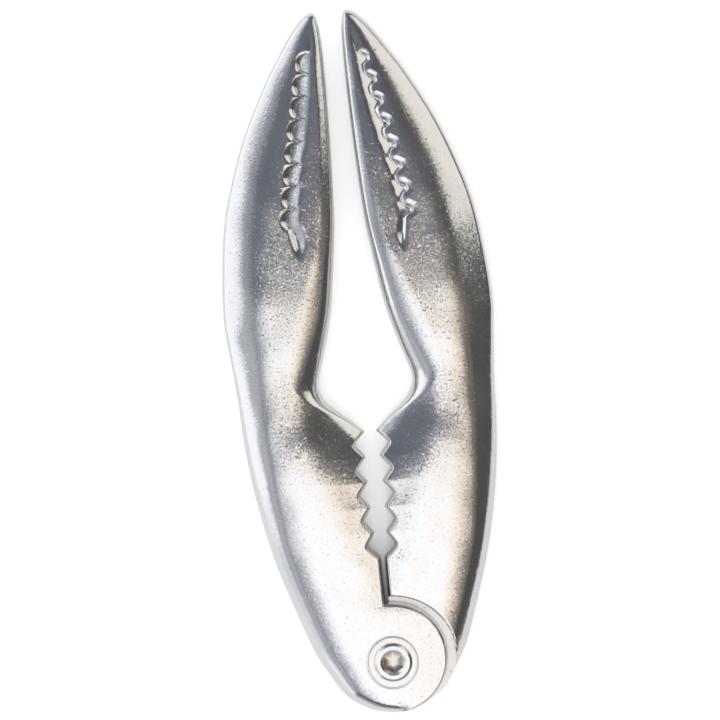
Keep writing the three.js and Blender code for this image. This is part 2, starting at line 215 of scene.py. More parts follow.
def distance(x, y, line, reach):
    """Distance from the points (x, y), which share one y, to a line, up to about the reach."""
    near = (line[1:, 1] > y - reach) & (line[:-1, 1] < y + reach)
    start = line[:-1][near]
    along = line[1:][near] - start
    if len(start) == 0:
        return np.full(len(x), reach)
    dx = x[:, None] - start[None, :, 0]
    dy = y - start[:, 1]
    length = np.maximum((along ** 2).sum(1), 1e-12)
    share = np.clip((dx * along[:, 0] + dy * along[:, 1]) / length, 0, 1)
    gap = np.hypot(dx - share * along[:, 0], dy - share * along[:, 1])
    return gap.min(1)


# ---------------------------------------------------------------- mouth line on the claw

# A sunk channel with a scalloped outer wall. Its two faces differ: the front one has blunt teeth
# between round scallops, and the back one has deeper scallops that meet in narrow teeth.

FRONT, BACK = 0, 1
SCALLOP_PITCH = 5.83
FIRST_SCALLOP_Y = 158.3                       # middle of the topmost scallop
SCALLOP_COUNT = 8
SCALLOP_REACH = (2.0, 2.65)                   # how far the teeth between scallops stand inwards
BACK_ARCH = 0.95                              # 1 makes each back scallop half an ellipse
RELIEF_DEPTH = 1.2
RELIEF_SLOPE = 0.38                           # how steeply the channel starts at its inner border
FLOOR_SOFTNESS = 0.12                         # how softly the slope ends in the level floor
BORDER_SOFTNESS = (0.12, 0.25)                # of the inner border, and what the top adds
GROOVE_DEPTH = 1.0                            # of the V-shaped tail
RIM_WIDTH = 1.1                               # bevelled rim of the plate beside the channel
RIM_DROP = (0.2, 0.5)
RIM_CURVE = 1.3
WALL_WIDTH = (1.0, 0.55)
PETAL_REACH = 0.45                            # scallops of the inner border
PETAL_LEAN = -0.18
PETAL_SHIFT = 1.0                             # they start this far above the wall's teeth
PETAL_NOTCH = 0.3                             # 0 makes the notches between them sharp

# Line through the scallops' outermost points, and the plain edge above the first tooth.
SCALLOP_LINE = spline([
    [14.4, 105], [16.2, 112], [17.1, 117.4], [16.3, 123], [15.4, 128.5], [14.4, 134.1],
    [13.25, 140.1], [12.0, 146.4], [10.8, 152.4], [9.55, 158.2], [8.9, 161.2],
])
LOWEST_SCALLOP_Y = FIRST_SCALLOP_Y - (SCALLOP_COUNT - 1) * SCALLOP_PITCH
FIRST_TOOTH_Y = FIRST_SCALLOP_Y + SCALLOP_PITCH / 2
LAST_TOOTH_Y = LOWEST_SCALLOP_Y - SCALLOP_PITCH / 2
RELIEF_TOP = [5.3, 167.2]
RELIEF_TAIL = [13.6, 105.6]
TAIL_START_Y = LAST_TOOTH_Y + 0.6             # below it the channel is a plain V-shaped groove

# Inner border of the channel.
BORDER_LINE = spline([
    RELIEF_TAIL, [12.7, 108], [11.8, 111.5], [12.4, 115], [12.9, 118], [12.4, 122], [11.6, 128],
    [10.3, 134], [8.7, 140], [7.5, 146], [6.6, 152], [5.8, 159], [5.1, 164], [5.0, 167.2],
])


def cusps(turn, width):
    """0 at the cusps, where turn is a whole number and a half, and 1 midway, with round arches."""
    arch = np.sqrt(np.cos(math.pi * turn) ** 2 + width ** 2) - width
    return arch / (math.sqrt(1 + width ** 2) - width)


def scallop(y, face):
    """1 at the middle of each scallop and 0 at each tooth between two."""
    turn = (y - FIRST_SCALLOP_Y) / SCALLOP_PITCH
    if face == FRONT:
        return 0.5 + 0.5 * np.sin(math.pi / 2 * np.cos(2 * math.pi * turn))
    away = BACK_ARCH * 2 * np.abs(turn - np.round(turn))
    return 1 - (1 - np.sqrt(1 - away ** 2)) / (1 - math.sqrt(1 - BACK_ARCH ** 2))


def petal(y):
    """1 where the inner border bulges inwards and 0 at its narrow notches."""
    turn = (y - FIRST_SCALLOP_Y - PETAL_SHIFT) / SCALLOP_PITCH
    leaning = turn + PETAL_LEAN * np.cos(math.pi * turn) ** 2
    return cusps(leaning, PETAL_NOTCH)


def wall_x(y, face):
    """Outer border of the channel, where its plate ends."""
    y = np.asarray(y, float)
    reach = SCALLOP_REACH[face]
    scallops = at(SCALLOP_LINE, y) - reach * (1 - scallop(y, face))
    top_x = at(SCALLOP_LINE, FIRST_TOOTH_Y) - reach
    top = top_x + (RELIEF_TOP[0] - top_x) * (y - FIRST_TOOTH_Y) / (RELIEF_TOP[1] - FIRST_TOOTH_Y)
    tail_x = at(SCALLOP_LINE, TAIL_START_Y) - reach * (1 - scallop(TAIL_START_Y, face))
    tail = tail_x + (RELIEF_TAIL[0] - tail_x) * (TAIL_START_Y - y) / (TAIL_START_Y - RELIEF_TAIL[1])
    return np.where(y > FIRST_TOOTH_Y, top, np.where(y < TAIL_START_Y, tail, scallops))


def border_x(y):
    """Inner border: smooth above, and with notched petals further down."""
    y = np.asarray(y, float)
    lower = smooth((146 - y) / 14) * smooth((y - 113) / 3)
    return at(BORDER_LINE, y) - lower * PETAL_REACH * (petal(y) - 0.4)


WALL_Y = np.linspace(RELIEF_TAIL[1], RELIEF_TOP[1], 1600)
WALL_LINES = [np.column_stack([wall_x(WALL_Y, face), WALL_Y]) for face in (FRONT, BACK)]


def relief(x, y, face):
    """How far the mouth line is sunk at the points (x, y), which share one y."""
    fade = smooth((RELIEF_TOP[1] - y) / 6) * smooth((y - RELIEF_TAIL[1]) / 5)
    if fade <= 0:
        return np.zeros(len(x))
    groove = smooth((TAIL_START_Y + 1 - y) / 3)
    wall_width = WALL_WIDTH[face] + groove * (1 - WALL_WIDTH[face])
    deepest = RELIEF_DEPTH + (GROOVE_DEPTH - RELIEF_DEPTH) * groove
    softness = BORDER_SOFTNESS[0] + BORDER_SOFTNESS[1] * smooth((y - 128) / 16)
    wall = float(wall_x(y, face))
    across = np.append(x, wall) - float(border_x(y))
    rise = softness * np.logaddexp(0, across / softness)
    missing = (deepest - RELIEF_SLOPE * rise) / FLOOR_SOFTNESS
    floor = deepest - FLOOR_SOFTNESS * np.logaddexp(0, missing)
    rim_drop = min(RIM_DROP[face], 0.45 * floor[-1])
    s = distance(x, y, WALL_LINES[face], 5) * np.where(x < wall, 1, -1)
    sunk = rim_drop + (floor[:-1] - rim_drop) * smooth(s / wall_width)
    sunk = np.where(floor[:-1] < rim_drop, floor[:-1], sunk)
    rim = rim_drop * np.clip(1 + s / RIM_WIDTH, 0, 1) ** RIM_CURVE
    return fade * np.where(s > 0, sunk, rim)


# ---------------------------------------------------------------- the arm's surface

DRAFT_WIDTH = 0.5                             # the steep wall leans this far back
FILLET_WIDTH = 0.45
DRAFT_SHARE = 0.925                           # share of the height that the steep wall takes
OUTER_SLOPE_SHARE = (0.31, 0.78)              # on the body and the claw, as flank() explains
INNER_SLOPE_SHARE = (0.35, -0.05)             # on the neck, and what the claw adds
INNER_BEND = (2, -0.7)
CLAW_EDGE_WIDTH = 1


def crisp_edge(d):
    """A nearly upright wall and a small fillet, for the lugs, the stop face and the teeth."""
    fillet = DRAFT_SHARE + (1 - DRAFT_SHARE) * round_off((d - DRAFT_WIDTH) / FILLET_WIDTH)
    return np.where(d < DRAFT_WIDTH, DRAFT_SHARE * d / DRAFT_WIDTH, fillet)


# From this line inwards the faces lean towards the teeth and the shoulder.
FOLD_LINE = spline([
    [0, 20], [6, 32], [9.5, 38], [12.2, 44], [14.4, 50], [16, 55], [17.2, 60], [18, 65], [18, 71],
    [16, 78], [12, 85], [7, 92], [0, 100],
])
FOLD_SLOPE = np.array([[0.02, 24], [0.06, 40], [0.09, 50], [0.14, 58], [0.21, 66], [0.21, 100]])

# Two more folds run along the shoulder's edge, and one along the teeth and the stop face. Each is
# [distance from the edge, slope that it adds, how soft it is].
SHOULDER_START = np.array([1.55, TEETH_TOP])
SHOULDER_END = np.array([12.4, 73.5])
SHOULDER_FOLDS = ((8, 0.05, 2.5), (3.2, 0.17, 0.25))
INNER_FOLD = (6, 0.075, 2)
FOLD_REACH = 13                               # no fold or inner flank is wider


def folded(gap, fold):
    """How far a face has fallen at a distance from the edge, for one soft fold."""
    start, slope, softness = fold
    return slope * softness * np.logaddexp(0, (start - gap) / softness)


def shoulder_fall(x, y):
    """How much lower the faces lie near the shoulder and the teeth, at the points (x, y)."""
    length = math.dist(SHOULDER_START, SHOULDER_END)
    way = (SHOULDER_END - SHOULDER_START) / length
    dx = x - SHOULDER_START[0]
    dy = y - SHOULDER_START[1]
    past = np.maximum(dx * way[0] + dy * way[1] - length, 0)
    gap = np.hypot(np.maximum(dx * way[1] - dy * way[0], 0), past)
    softness = 1 + 1.5 * smooth((60 - y) / 12)
    lean = folded(x - float(at(FOLD_LINE, y)), (0, float(at(FOLD_SLOPE, y)), softness))
    return lean + sum(folded(gap, fold) for fold in SHOULDER_FOLDS)


def flank(d, round_width, width, share, bend=2.0):
    """How much of the full height there is at d from an edge.

    The rounded edge gives one part of it and the gentle slope gives the other, its share.
    """
    slope = 1 - (1 - np.clip(d / width, 0, 1)) ** bend
    return (1 - share) * round_off(d / round_width) + share * slope


def outer_flank(d, y):
    """A rounded edge on the body, and a long slope above a small edge on the claw."""
    width = float(at(OUTER_FLANK, y))
    body = flank(d, float(at(OUTER_ROUND, y)), width, OUTER_SLOPE_SHARE[0])
    claw = flank(d, CLAW_EDGE_WIDTH, width, OUTER_SLOPE_SHARE[1])
    return body + (claw - body) * smooth((y - 60) / 45)


def inner_flank(d, y):
    """The edge towards the other arm, on the neck and the claw."""
    share = INNER_SLOPE_SHARE[0] + INNER_SLOPE_SHARE[1] * smooth((y - 90) / 20)
    bend = INNER_BEND[0] + INNER_BEND[1] * float(smooth((y - 100) / 25))
    return flank(d, float(at(INNER_ROUND, y)), float(at(INNER_FLANK, y)), share, bend)


WAVE_COUNT = 9
WAVES = np.random.default_rng(7)
WAVE_TURN = WAVES.uniform(0, math.pi, WAVE_COUNT)
WAVE_LENGTH = WAVES.uniform(8, 17, WAVE_COUNT)
WAVE_START = WAVES.uniform(0, 2 * math.pi, WAVE_COUNT)
WAVE_HEIGHT = 0.011
CALM_EDGE = 3                                 # the waves fade over this distance from an edge


def waviness(x, y):
    """The faint unevenness of a polished casting."""
    along = x[:, None] * np.cos(WAVE_TURN) + y * np.sin(WAVE_TURN)
    return WAVE_HEIGHT * np.sin(2 * math.pi * along / WAVE_LENGTH + WAVE_START).sum(1)


def edge_softness(y):
    """0 along the lug and the teeth, where the inner edge is crisp, and 1 on the neck and claw."""
    return float(smooth((y - 61) / 8))


def face_height(x, y, face):
    """Height of one face above the parting line."""
    inner = distance(x, y, INNER_LINES[face], FOLD_REACH + 1)
    outer = distance(x, y, OUTER_EDGE, float(at(OUTER_FLANK, y)) + 1)
    soft = edge_softness(y)
    edge = (1 - soft) * crisp_edge(inner) + soft * inner_flank(inner, y)
    fold_share = smooth((y - 10) / 8) * smooth((72 - y) / 16)
    fall = shoulder_fall(x, y) + folded(inner, INNER_FOLD) * fold_share
    crown = min(float(at(CROWN_HEIGHT, y)), MIDDLE) - fall
    height = crown * edge * outer_flank(outer, y)
    sunk = relief(x, y, face) if y > RELIEF_TAIL[1] else 0
    calm = np.clip(outer / CALM_EDGE, 0, 1) * np.clip(inner / CALM_EDGE, 0, 1)
    calm = calm * smooth((y - 12) / 12)
    return np.clip(height - sunk + waviness(x, y) * calm - WAVE_HEIGHT * 4 * calm, 0, MIDDLE)


def eased(start, end, count):
    """Places closer together at both ends."""
    turn = np.linspace(0, math.pi, count + 1)
    return start + (end - start) * (1 - np.cos(turn)) / 2


def along_wall(count):
    """Places along the mouth line, closer together where its walls run across the arm."""
    steps = sum(np.hypot(1, np.gradient(line[:, 0], line[:, 1])) for line in WALL_LINES)
    way = np.cumsum(steps)
    return np.interp(np.linspace(way[0], way[-1], count), way, WALL_Y)


def stations():
    """Places along the arm where a ring of points is made."""
    hollow_top = HOLLOW_TOP_Y * np.cos(np.radians(np.arange(0, 50, 2)))
    end = np.sin(np.linspace(0, math.pi / 2, 24))
    y = np.concatenate([
        eased(LUG_BOTTOM, LUG_TOP, 104),
        hollow_top,
        [HOLLOW_RADIUS],
        np.linspace(HOLLOW_RADIUS + 0.3, STOP_TOP_Y, 24),
        np.linspace(STOP_TOP_Y, TEETH_TOP, 26 * TOOTH_COUNT + 1),
        np.linspace(TEETH_TOP, 77, 48),
        np.linspace(77, RELIEF_TAIL[1], 36),
        along_wall(300),
        RELIEF_TOP[1] + (TIP[1] - RELIEF_TOP[1]) * end,
    ])
    y = np.sort(y)
    kept = [y[0]]
    for value in y[1:]:
        if value - kept[-1] > SMALLEST_GAP:
            kept.append(value)
    kept[-1] = TIP[1]
    top = int(np.argmin(np.abs(np.array(kept) - LUG_TOP)))
    kept[top] = LUG_TOP
    kept.insert(top + 1, LUG_TOP + SMALL_STEP)
    return np.array(kept)


# Where the points of a ring lie: in from a crisp edge, over the flanks and over the channel's
# wall.
CREST_STEPS = np.array([
    0, 0.1, 0.22, 0.36, 0.5, 0.53, 0.58, 0.65, 0.74, 0.84, 0.95, 1.15, 1.5, 2.1, 2.7, 3.3,
])
FLANK_TURN = np.linspace(0, math.pi / 2, len(CREST_STEPS))
OUTER_TURN = np.linspace(math.pi / 2, 0, 22)
WALL_STEPS = np.array([0.6, 0.48, 0.36, 0.24, 0.12, 0, -0.1, -0.25, -0.45, -0.75, -1.1])
PLAIN_WALL = 0.42                             # below the channel they lie at this share across
PLAIN_BORDER = 0.3
SMALLEST_GAP = 0.004


def places_across(y, inner_x, outer_x, face):
    """Places across one station. They follow the edges, the flanks and the mouth line."""
    width = outer_x - inner_x
    inner_width = float(at(INNER_FLANK, y))
    outer_width = float(at(OUTER_FLANK, y))
    soft = edge_softness(y)
    wanted = (1 - soft) * CREST_STEPS + soft * inner_width * (1 - np.cos(FLANK_TURN))
    probes = 400
    probe = inner_x + np.linspace(0, min(width, 12), probes)
    reached = np.maximum.accumulate(distance(probe, y, INNER_LINES[face], FOLD_REACH))
    inner = np.interp(wanted, reached + np.arange(probes) * 1e-9, probe)
    inner[0] = inner_x
    outer = outer_x - outer_width * (1 - np.cos(OUTER_TURN))
    relief_share = smooth((y - 90) / 14)
    plain_share = 1 - relief_share
    wall = relief_share * float(wall_x(y, face)) + plain_share * (inner_x + PLAIN_WALL * width)
    border = relief_share * float(border_x(y)) + plain_share * (inner_x + PLAIN_BORDER * width)
    start = min(inner[-1], border - 0.3)
    lead = np.linspace(start, border, 6)[1:-1]
    step = 0.05
    lean = float(wall_x(y + step, face) - wall_x(y - step, face)) / (2 * step)
    rim = wall - WALL_STEPS * (1 + relief_share * (math.hypot(1, lean) - 1))
    floor = np.linspace(border, rim[0], 8)[:-1]
    plate = np.linspace(rim[-1], max(outer[0], rim[-1] + 0.3), 10)[1:-1]
    places = np.concatenate([inner, lead, floor, rim, plate, outer])
    gaps = np.maximum(np.diff(places), SMALLEST_GAP * width)
    total = gaps.sum()
    if total > 0:
        gaps *= width / total
    return inner_x + np.concatenate([[0], np.cumsum(gaps)])


def ring(y):
    """One closed ring: over the front face, back under the back face, then along the lap floor."""
    outer_x = float(at(OUTER_EDGE, y))
    front_x = front_inner_x(y)
    back_x = back_inner_x(y)
    floor = LAP_FLOOR if y < HOLLOW_RADIUS else MIDDLE
    has_front = front_x < outer_x - 1e-6
    rim = MIDDLE if has_front else floor

    x = places_across(y, front_x, outer_x, FRONT)
    z = MIDDLE + face_height(x, y, FRONT)
    z[0] = floor
    z[-1] = rim
    if not has_front:
        z[:] = floor
    front = np.column_stack([x, np.full(len(x), y), z])

    x = places_across(y, back_x, outer_x, BACK)
    z = np.minimum(MIDDLE - face_height(x, y, BACK), floor)
    z[0] = floor
    z[-1] = rim
    back = np.column_stack([x, np.full(len(x), y), z])
    return np.vstack([front, back[::-1]])


def mesh_object(name, points, faces):
    """A mesh object in metres from points in mm. Equal points are merged, empty faces dropped."""
    points = np.asarray(points, float)
    keys = np.round(points * 1e4).astype(np.int64)
    _, first, same = np.unique(keys, axis=0, return_index=True, return_inverse=True)
    same = same.reshape(-1)
    kept = []
    for face in same[np.asarray(faces)]:
        corners = [c for i, c in enumerate(face) if c != face[i - 1]]
        if len(set(corners)) > 2:
            kept.append(corners)
    mesh = bpy.data.meshes.new(name)
    mesh.from_pydata(points[first] * MM, [], kept)
    mesh.validate()
    made = bpy.data.objects.new(name, mesh)
    bpy.context.scene.collection.objects.link(made)
    return made


def strip_faces(rows, count):
    """Quads of a closed tube: rings of count points, one ring per row."""
    i, j = np.meshgrid(np.arange(rows - 1), np.arange(count), indexing="ij")
    following = (j + 1) % count
    row, next_row = i * count, (i + 1) * count
    corners = [row + j, row + following, next_row + following, next_row + j]
    return np.stack(corners, -1).reshape(-1, 4)


def arm_points():
    """All rings of one casting. The first and the last shrink to a point."""
    rings = [ring(y) for y in stations()]
    rings[0][:] = [0, LUG_BOTTOM, LAP_FLOOR]
    rings[-1][:] = [*TIP, MIDDLE]
    return np.array(rings)


def turned_over(points):
    """The same casting turned over, about the line x = 0 at the parting line's height."""
    return points * [-1, 1, -1] + [0, 0, THICKNESS]


# ---------------------------------------------------------------- turned pieces and cuts

SIDES = 144


def lathe(name, profile, sides=SIDES):
    """A closed body turned about the pivot axis from [radius, height] points.

    The outline runs from bottom to top on its outside.
    """
    profile = np.array(profile, float)
    turn = np.arange(sides) * 2 * math.pi / sides
    ring_points = [np.column_stack([r * np.cos(turn), r * np.sin(turn), np.full(sides, z)])
                   for r, z in profile]
    points = np.vstack(ring_points)
    return mesh_object(name, points, strip_faces(len(profile), sides))


def cut(target, cutter):
    """Takes cutter away from target for good."""
    step = target.modifiers.new("cut", "BOOLEAN")
    step.operation = "DIFFERENCE"
    step.solver = "MANIFOLD"
    step.object = cutter
    bpy.context.view_layer.update()
    evaluated = target.evaluated_get(bpy.context.evaluated_depsgraph_get())
    mesh = bpy.data.meshes.new_from_object(evaluated)
    target.modifiers.clear()
    target.data = mesh
    bpy.data.objects.remove(cutter)


def shade(made, sharp_degrees=32):
    """Smooth shading, but for edges sharper than that."""
    made.data.polygons.foreach_set("use_smooth", np.ones(len(made.data.polygons), bool))
    made.data.set_sharp_from_angle(angle=math.radians(sharp_degrees))


def arm(name, points, face_z, depth):
    """One casting with its bore and counterbore. The counterbore opens at face_z."""
    rows, count, _ = points.shape
    made = mesh_object(name, points.reshape(-1, 3), strip_faces(rows, count))
    way = 1 if face_z > MIDDLE else -1
    floor_z = face_z - way * depth
    bore = [[0, -1], [BORE_RADIUS, -1], [BORE_RADIUS, THICKNESS + 1], [0, THICKNESS + 1]]
    wide = COUNTERBORE_RADIUS + COUNTERBORE_BREAK * 2
    mouth = [
        [0, floor_z], [COUNTERBORE_RADIUS, floor_z],
        [COUNTERBORE_RADIUS, face_z - way * COUNTERBORE_BREAK],
        [wide, face_z + way * COUNTERBORE_BREAK], [wide, face_z + way], [0, face_z + way],
    ]
    cut(made, lathe("bore_cutter", bore))
    cut(made, lathe("mouth_cutter", mouth if way > 0 else mouth[::-1]))
    shade(made)
    return made


FINE_RINGS = arm_points()
right_arm = arm("right_arm_casting", FINE_RINGS, 0, BACK_COUNTERBORE)
left_arm = arm("left_arm_casting", turned_over(FINE_RINGS), THICKNESS, FRONT_COUNTERBORE)

# ---------------------------------------------------------------- hardware

HEAD_RADIUS = 4.95
HEAD_CHAMFER = 0.5
BARREL_RADIUS = 4.35
NECK_RADIUS = 3.5
NECK_START = 8.5
THREAD_RADIUS = 2.9
THREAD_PITCH = 1.0
THREAD_DEPTH = 0.35
THREAD_CREST = ((0, 0), (0.2, 0), (0.5, 1), (0.6, 1), (0.9, 0))   # [share of pitch, depth]
THREAD_LEAD = 0.5                             # plain point below the thread, and its chamfer
SCREW_CLEARANCE = 0.15
FACE_GAP = 0.05                               # between faces that bear on each other
EDGE_BREAK = 0.1
SOCKET_FLATS = 5
SOCKET_DEPTH = 2.3
SOCKET_CONE = 0.8
SOCKET_MOUTH_RADIUS = 3.3
SOCKET_MOUTH_SLOPE = 1.004                    # run over fall of the countersink
SPANNER_HOLE_RADIUS = 0.7
SPANNER_HOLE_DEPTH = 0.7
SPANNER_HOLE_SPREAD = 3
SPANNER_HOLE_BREAK = 0.12
SPANNER_HOLE_POINT = 0.3
NUT_EDGE = 0.25
NUT_RIM_BREAK = 0.08
WASHER_HOLE = 4.6
WASHER_EDGE = 0.14
SPACER_EDGE = 0.06


def span(node):
    """Lowest and highest z of a CAD node, in mm."""
    low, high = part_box(node)
    return low.z / MM, high.z / MM


def around(radius, z):
    """A ring of points about the pivot axis. The radius may differ from point to point."""
    turn = np.arange(SIDES) * 2 * math.pi / SIDES
    return np.column_stack([radius * np.cos(turn), radius * np.sin(turn), np.zeros(SIDES) + z])


def hexagon(flats):
    """Distance from the axis to a hexagon's sides, for each point of a ring."""
    turn = np.arange(SIDES) * 2 * math.pi / SIDES
    return flats / 2 / np.cos((turn + math.pi / 6) % (math.pi / 3) - math.pi / 6)


def rounded(corner, toward_start, toward_end, radius, steps=4):
    """Points that round a corner of a profile, given the unit ways into and out of it."""
    corner, back, ahead = (np.array(v, float) for v in (corner, toward_start, toward_end))
    share = np.linspace(0, math.pi / 2, steps + 1)
    centre = corner + (back + ahead) * radius
    return [tuple(centre - back * radius * np.sin(a) - ahead * radius * np.cos(a)) for a in share]


UP, DOWN, OUT, INWARD = (0, 1), (0, -1), (1, 0), (-1, 0)


def washer(name, node, edge=WASHER_EDGE):
    """A flat ring with rounded edges."""
    low, high = span(node)
    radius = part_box(node)[1].x / MM
    profile = [
        *rounded((WASHER_HOLE, low), UP, OUT, edge),
        *rounded((radius, low), INWARD, UP, edge),
        *rounded((radius, high), DOWN, INWARD, edge),
        *rounded((WASHER_HOLE, high), OUT, DOWN, edge),
    ]
    profile.append(profile[0])
    made = lathe(name, profile)
    shade(made)
    return made


def screw():
    """Low round head with a chamfer and a hex socket, plain neck, thread with a pointed end."""
    low, top = span("pivot_screw")
    seat = span("front_washer")[1] + FACE_GAP
    socket = hexagon(SOCKET_FLATS)
    mouth_fall = (SOCKET_MOUTH_RADIUS - socket) / SOCKET_MOUTH_SLOPE
    rings = [around(0, low), around(THREAD_RADIUS - THREAD_LEAD, low)]
    thread_length = NECK_START - low - THREAD_LEAD - EDGE_BREAK
    for i in range(int(thread_length / THREAD_PITCH)):
        start = low + THREAD_LEAD + i * THREAD_PITCH
        for share, depth in THREAD_CREST:
            radius = THREAD_RADIUS - depth * THREAD_DEPTH
            rings.append(around(radius, start + share * THREAD_PITCH))
    chamfer_top = HEAD_RADIUS - HEAD_CHAMFER - EDGE_BREAK
    # Each edge of the head is broken by a few hundredths of a millimetre.
    rings += [
        around(THREAD_RADIUS, NECK_START), around(NECK_RADIUS, NECK_START),
        around(NECK_RADIUS, seat),
        around(HEAD_RADIUS - EDGE_BREAK, seat), around(HEAD_RADIUS, seat + EDGE_BREAK),
        around(HEAD_RADIUS, top - HEAD_CHAMFER),
        around(HEAD_RADIUS - 0.03, top - HEAD_CHAMFER + 0.08),
        around(chamfer_top + 0.06, top - 0.04), around(chamfer_top - 0.02, top),
        around(SOCKET_MOUTH_RADIUS + 0.05, top), around(SOCKET_MOUTH_RADIUS, top - 0.03),
        around(socket, top - mouth_fall), around(socket, top - SOCKET_DEPTH),
        around(0, top - SOCKET_DEPTH - SOCKET_CONE),
    ]
    made = mesh_object("pivot_screw_steel", np.vstack(rings), strip_faces(len(rings), SIDES))
    shade(made, 24)
    return made


def barrel_nut():
    """A thin round head with two blind holes at the back, and the barrel that both lugs turn on."""
    low, top = span("barrel_nut")
    head_top = span("back_washer")[0] - FACE_GAP
    screw_end = span("pivot_screw")[0] - SCREW_CLEARANCE
    neck_bore = NECK_RADIUS + SCREW_CLEARANCE
    thread_bore = THREAD_RADIUS + SCREW_CLEARANCE
    neck_end = NECK_START - SCREW_CLEARANCE
    profile = [
        (0, low), *rounded((HEAD_RADIUS, low), INWARD, UP, NUT_EDGE),
        (HEAD_RADIUS, head_top - NUT_RIM_BREAK), (HEAD_RADIUS - NUT_RIM_BREAK, head_top),
        (BARREL_RADIUS, head_top),
        (BARREL_RADIUS, top - EDGE_BREAK), (BARREL_RADIUS - EDGE_BREAK, top),
        (neck_bore, top), (neck_bore, neck_end),
        (thread_bore, neck_end), (thread_bore, screw_end), (0, screw_end),
    ]
    made = lathe("barrel_nut_steel", profile)
    wide = SPANNER_HOLE_RADIUS + SPANNER_HOLE_BREAK
    end = low + SPANNER_HOLE_DEPTH
    for side in (-1, 1):
        hole = lathe("spanner_hole", [
            (0, low - 1), (wide, low - 1), (wide, low),
            (SPANNER_HOLE_RADIUS, low + SPANNER_HOLE_BREAK), (SPANNER_HOLE_RADIUS, end),
            (0, end + SPANNER_HOLE_POINT),
        ], 48)
        hole.location.x = side * SPANNER_HOLE_SPREAD * MM
        cut(made, hole)
    shade(made)
    return made


pivot_screw = screw()
nut = barrel_nut()
front_washer = washer("front_washer_steel", "front_washer")
back_washer = washer("back_washer_steel", "back_washer")
spacer = washer("spacer_washer_nylon", "spacer_washer", SPACER_EDGE)

# ---------------------------------------------------------------- materials

class Nodes:
    """Short calls to make and join the nodes of a material, a light or the world."""

    def __init__(self, owner):
        owner.use_nodes = True
        self.tree = owner.node_tree

    def node(self, kind, settings=(), **inputs):
        """A new node. An input's name has _ where the socket's has a space."""
        made = self.tree.nodes.new(kind)
        for key, value in dict(settings).items():
            setattr(made, key, value)
        for key, value in inputs.items():
            self.feed(made.inputs[key.replace("_", " ")], value)
        return made

    def feed(self, socket, value):
        """Links an output to the socket, or sets the socket to a plain value."""
        if isinstance(value, bpy.types.NodeSocket):
            self.tree.links.new(value, socket)
        else:
            socket.default_value = value

    def math(self, operation, first, second=0.0, third=0.0, clamp=False):
        made = self.node("ShaderNodeMath", {"operation": operation, "use_clamp": clamp})
        for socket, value in zip(made.inputs, (first, second, third)):
            self.feed(socket, value)
        return made.outputs[0]

    def ramp(self, value, low, high, to_low=0.0, to_high=1.0):
        """Value taken from low..high to to_low..to_high, smoothly and without overshoot."""
        made = self.node("ShaderNodeMapRange", {"interpolation_type": "SMOOTHSTEP"})
        for socket, number in zip(made.inputs, (value, low, high, to_low, to_high)):
            self.feed(socket, number)
        return made.outputs[0]

    def colours(self, share, first, second, blend="MIX"):
        """The first colour where the share is 0, the second or their product where it is 1."""
        made = self.node("ShaderNodeMix", {"data_type": "RGBA", "blend_type": blend})
        self.feed(made.inputs["Factor"], share)
        for socket, colour in zip(made.inputs[6:8], (first, second)):
            self.feed(socket, (*colour, 1) if isinstance(colour, tuple) else colour)
        return made.outputs[2]

    def vectors(self, operation, first, second):
        made = self.node("ShaderNodeVectorMath", {"operation": operation})
        for socket, value in zip(made.inputs, (first, second)):
            self.feed(socket, value)
        return made.outputs[0]


class Shader(Nodes):
    """A material with one Principled surface, in object coordinates."""

    def __init__(self, name, **sockets):
        self.material = bpy.data.materials.new(name)
        super().__init__(self.material)
        self.surface = self.tree.nodes["Principled BSDF"]
        for socket, value in sockets.items():
            self.surface.inputs[socket.replace("_", " ")].default_value = value
        self.place = self.node("ShaderNodeTexCoord").outputs["Object"]

    def noise(self, size_mm, detail=3.0, roughness=0.55, place=None):
        """Noise whose blobs are about size_mm across, from 0 to 1."""
        made = self.node("ShaderNodeTexNoise", Vector=place or self.place,
                         Scale=1 / (size_mm * MM), Detail=detail, Roughness=roughness)
        return made.outputs["Fac"]

    def grained(self, size_mm, strength, normal):
        """The normal turned a little every way at random, as on a cast and tumbled surface."""
        grain = self.node("ShaderNodeTexNoise", Vector=self.place, Scale=1 / (size_mm * MM),
                          Detail=1.0, Roughness=0.5)
        lean = self.vectors("SUBTRACT", grain.outputs["Color"], (0.5, 0.5, 0.5))
        lean = self.vectors("MULTIPLY", lean, strength)
        return self.vectors("NORMALIZE", self.vectors("ADD", normal, lean), (0, 0, 0))

    def stretched(self, angle_degrees, along_mm, across_mm):
        """Object coordinates stretched along one way in the XY plane, for scratches."""
        turned = self.node("ShaderNodeVectorRotate", {"rotation_type": "Z_AXIS"},
                           Vector=self.place, Angle=math.radians(angle_degrees))
        return self.vectors("MULTIPLY", turned.outputs[0], (across_mm / along_mm, 1, 1))

    def bump(self, height, depth_mm, normal=None):
        made = self.node("ShaderNodeBump", Strength=1.0, Distance=depth_mm * MM, Height=height)
        if normal is not None:
            self.feed(made.inputs["Normal"], normal)
        return made.outputs["Normal"]


